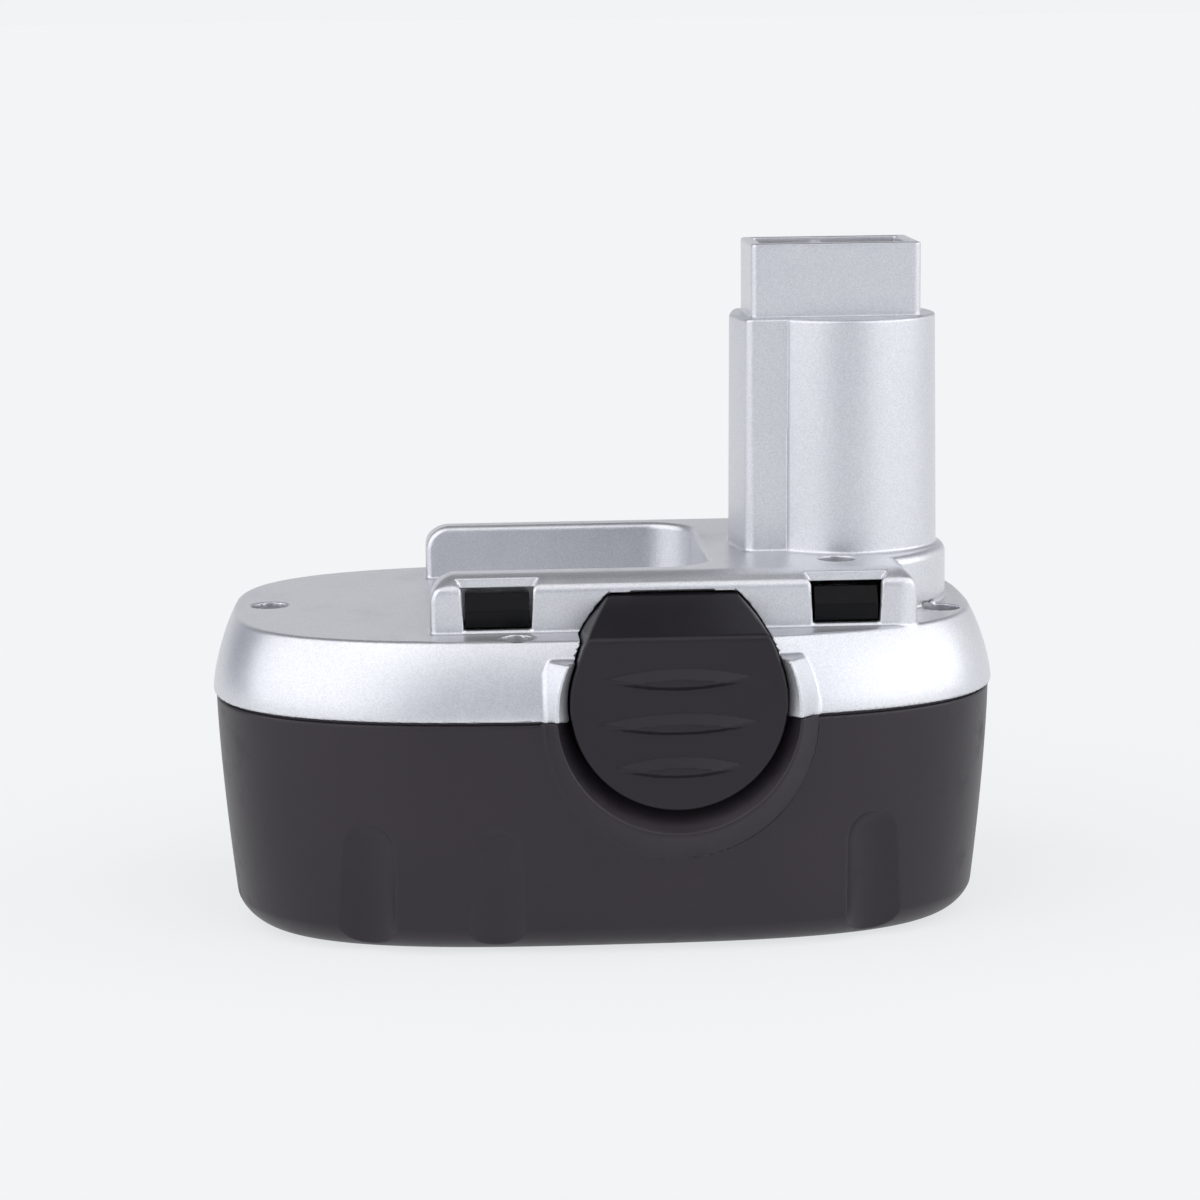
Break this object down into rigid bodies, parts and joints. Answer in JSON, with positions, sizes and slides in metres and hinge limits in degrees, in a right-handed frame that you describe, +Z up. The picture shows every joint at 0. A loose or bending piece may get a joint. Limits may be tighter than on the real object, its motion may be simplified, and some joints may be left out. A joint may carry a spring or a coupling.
{
  "type": "power tool battery pack",
  "caption": "Stem type rechargeable battery pack for a cordless tool, with an oval case, a raised rail deck, a terminal stem and two sprung release buttons.",
  "frame": {"origin": "on the table under the middle of the pack: centre of the bounding box's bottom face", "axes": "+X along the pack towards the stem, +Y to the rear release button, +Z up along the stem"},
  "size_m": [0.136, 0.0902, 0.116],
  "materials": {
    "case_plastic": "fine matte grain, charcoal",
    "silver_paint": "satin silver paint with fine metal flake",
    "button_plastic": "matte black moulding",
    "latch_plastic": "gloss black acetal",
    "spring_steel": "bright drawn wire",
    "screw_steel": "zinc plated",
    "carrier_plastic": "plain black moulding",
    "contact_metal": "plated spring brass",
    "link_nickel": "nickel strip",
    "cell_sleeve": "shrunk film sleeve",
    "foam": "closed cell foam",
    "insulating_paper": "fish paper",
    "red_lead": "silicone insulation",
    "white_lead": "thin insulation",
    "sensor_bead": "epoxy dipped bead"
  },
  "bodies": {
    "pack": {"lower_case": "case_plastic", "upper_cover": "silver_paint", "front_spring": "spring_steel", "rear_spring": "spring_steel", "case_screws": "screw_steel", "carrier_screws": "screw_steel", "stem_carrier": "carrier_plastic", "terminal_block": "carrier_plastic", "negative_contact": "contact_metal", "positive_contact": "contact_metal", "sense_contact": "contact_metal", "positive_lead": "red_lead", "sense_lead": "white_lead", "thermistor": "sensor_bead", "stem_cell": "cell_sleeve", "stem_links": "link_nickel", "foam_pad": "foam", "bottom_sheet": "insulating_paper", "top_sheet": "insulating_paper", "bottom_links": "link_nickel", "top_links": "link_nickel", "cell_1": "cell_sleeve", "cell_2": "cell_sleeve", "cell_3": "cell_sleeve", "cell_4": "cell_sleeve", "cell_5": "cell_sleeve", "cell_6": "cell_sleeve", "cell_7": "cell_sleeve", "cell_8": "cell_sleeve", "cell_9": "cell_sleeve", "cell_10": "cell_sleeve", "cell_11": "cell_sleeve", "cell_12": "cell_sleeve", "cell_13": "cell_sleeve", "cell_14": "cell_sleeve"},
    "front_catch": {"front_button": "button_plastic", "front_latch": "latch_plastic"},
    "rear_catch": {"rear_button": "button_plastic", "rear_latch": "latch_plastic"}
  },
  "joints": [
    {"name": "front_press", "type": "slide", "parent": "pack", "child": "front_catch", "axis": [0, 1, 0], "range_m": [0, 0.0025], "stiffness_N_per_m": 1500, "springref_m": -0.002, "deforming": ["front_spring"]},
    {"name": "rear_press", "type": "slide", "parent": "pack", "child": "rear_catch", "axis": [0, -1, 0], "range_m": [0, 0.0025], "stiffness_N_per_m": 1500, "springref_m": -0.002, "deforming": ["rear_spring"]}
  ]
}
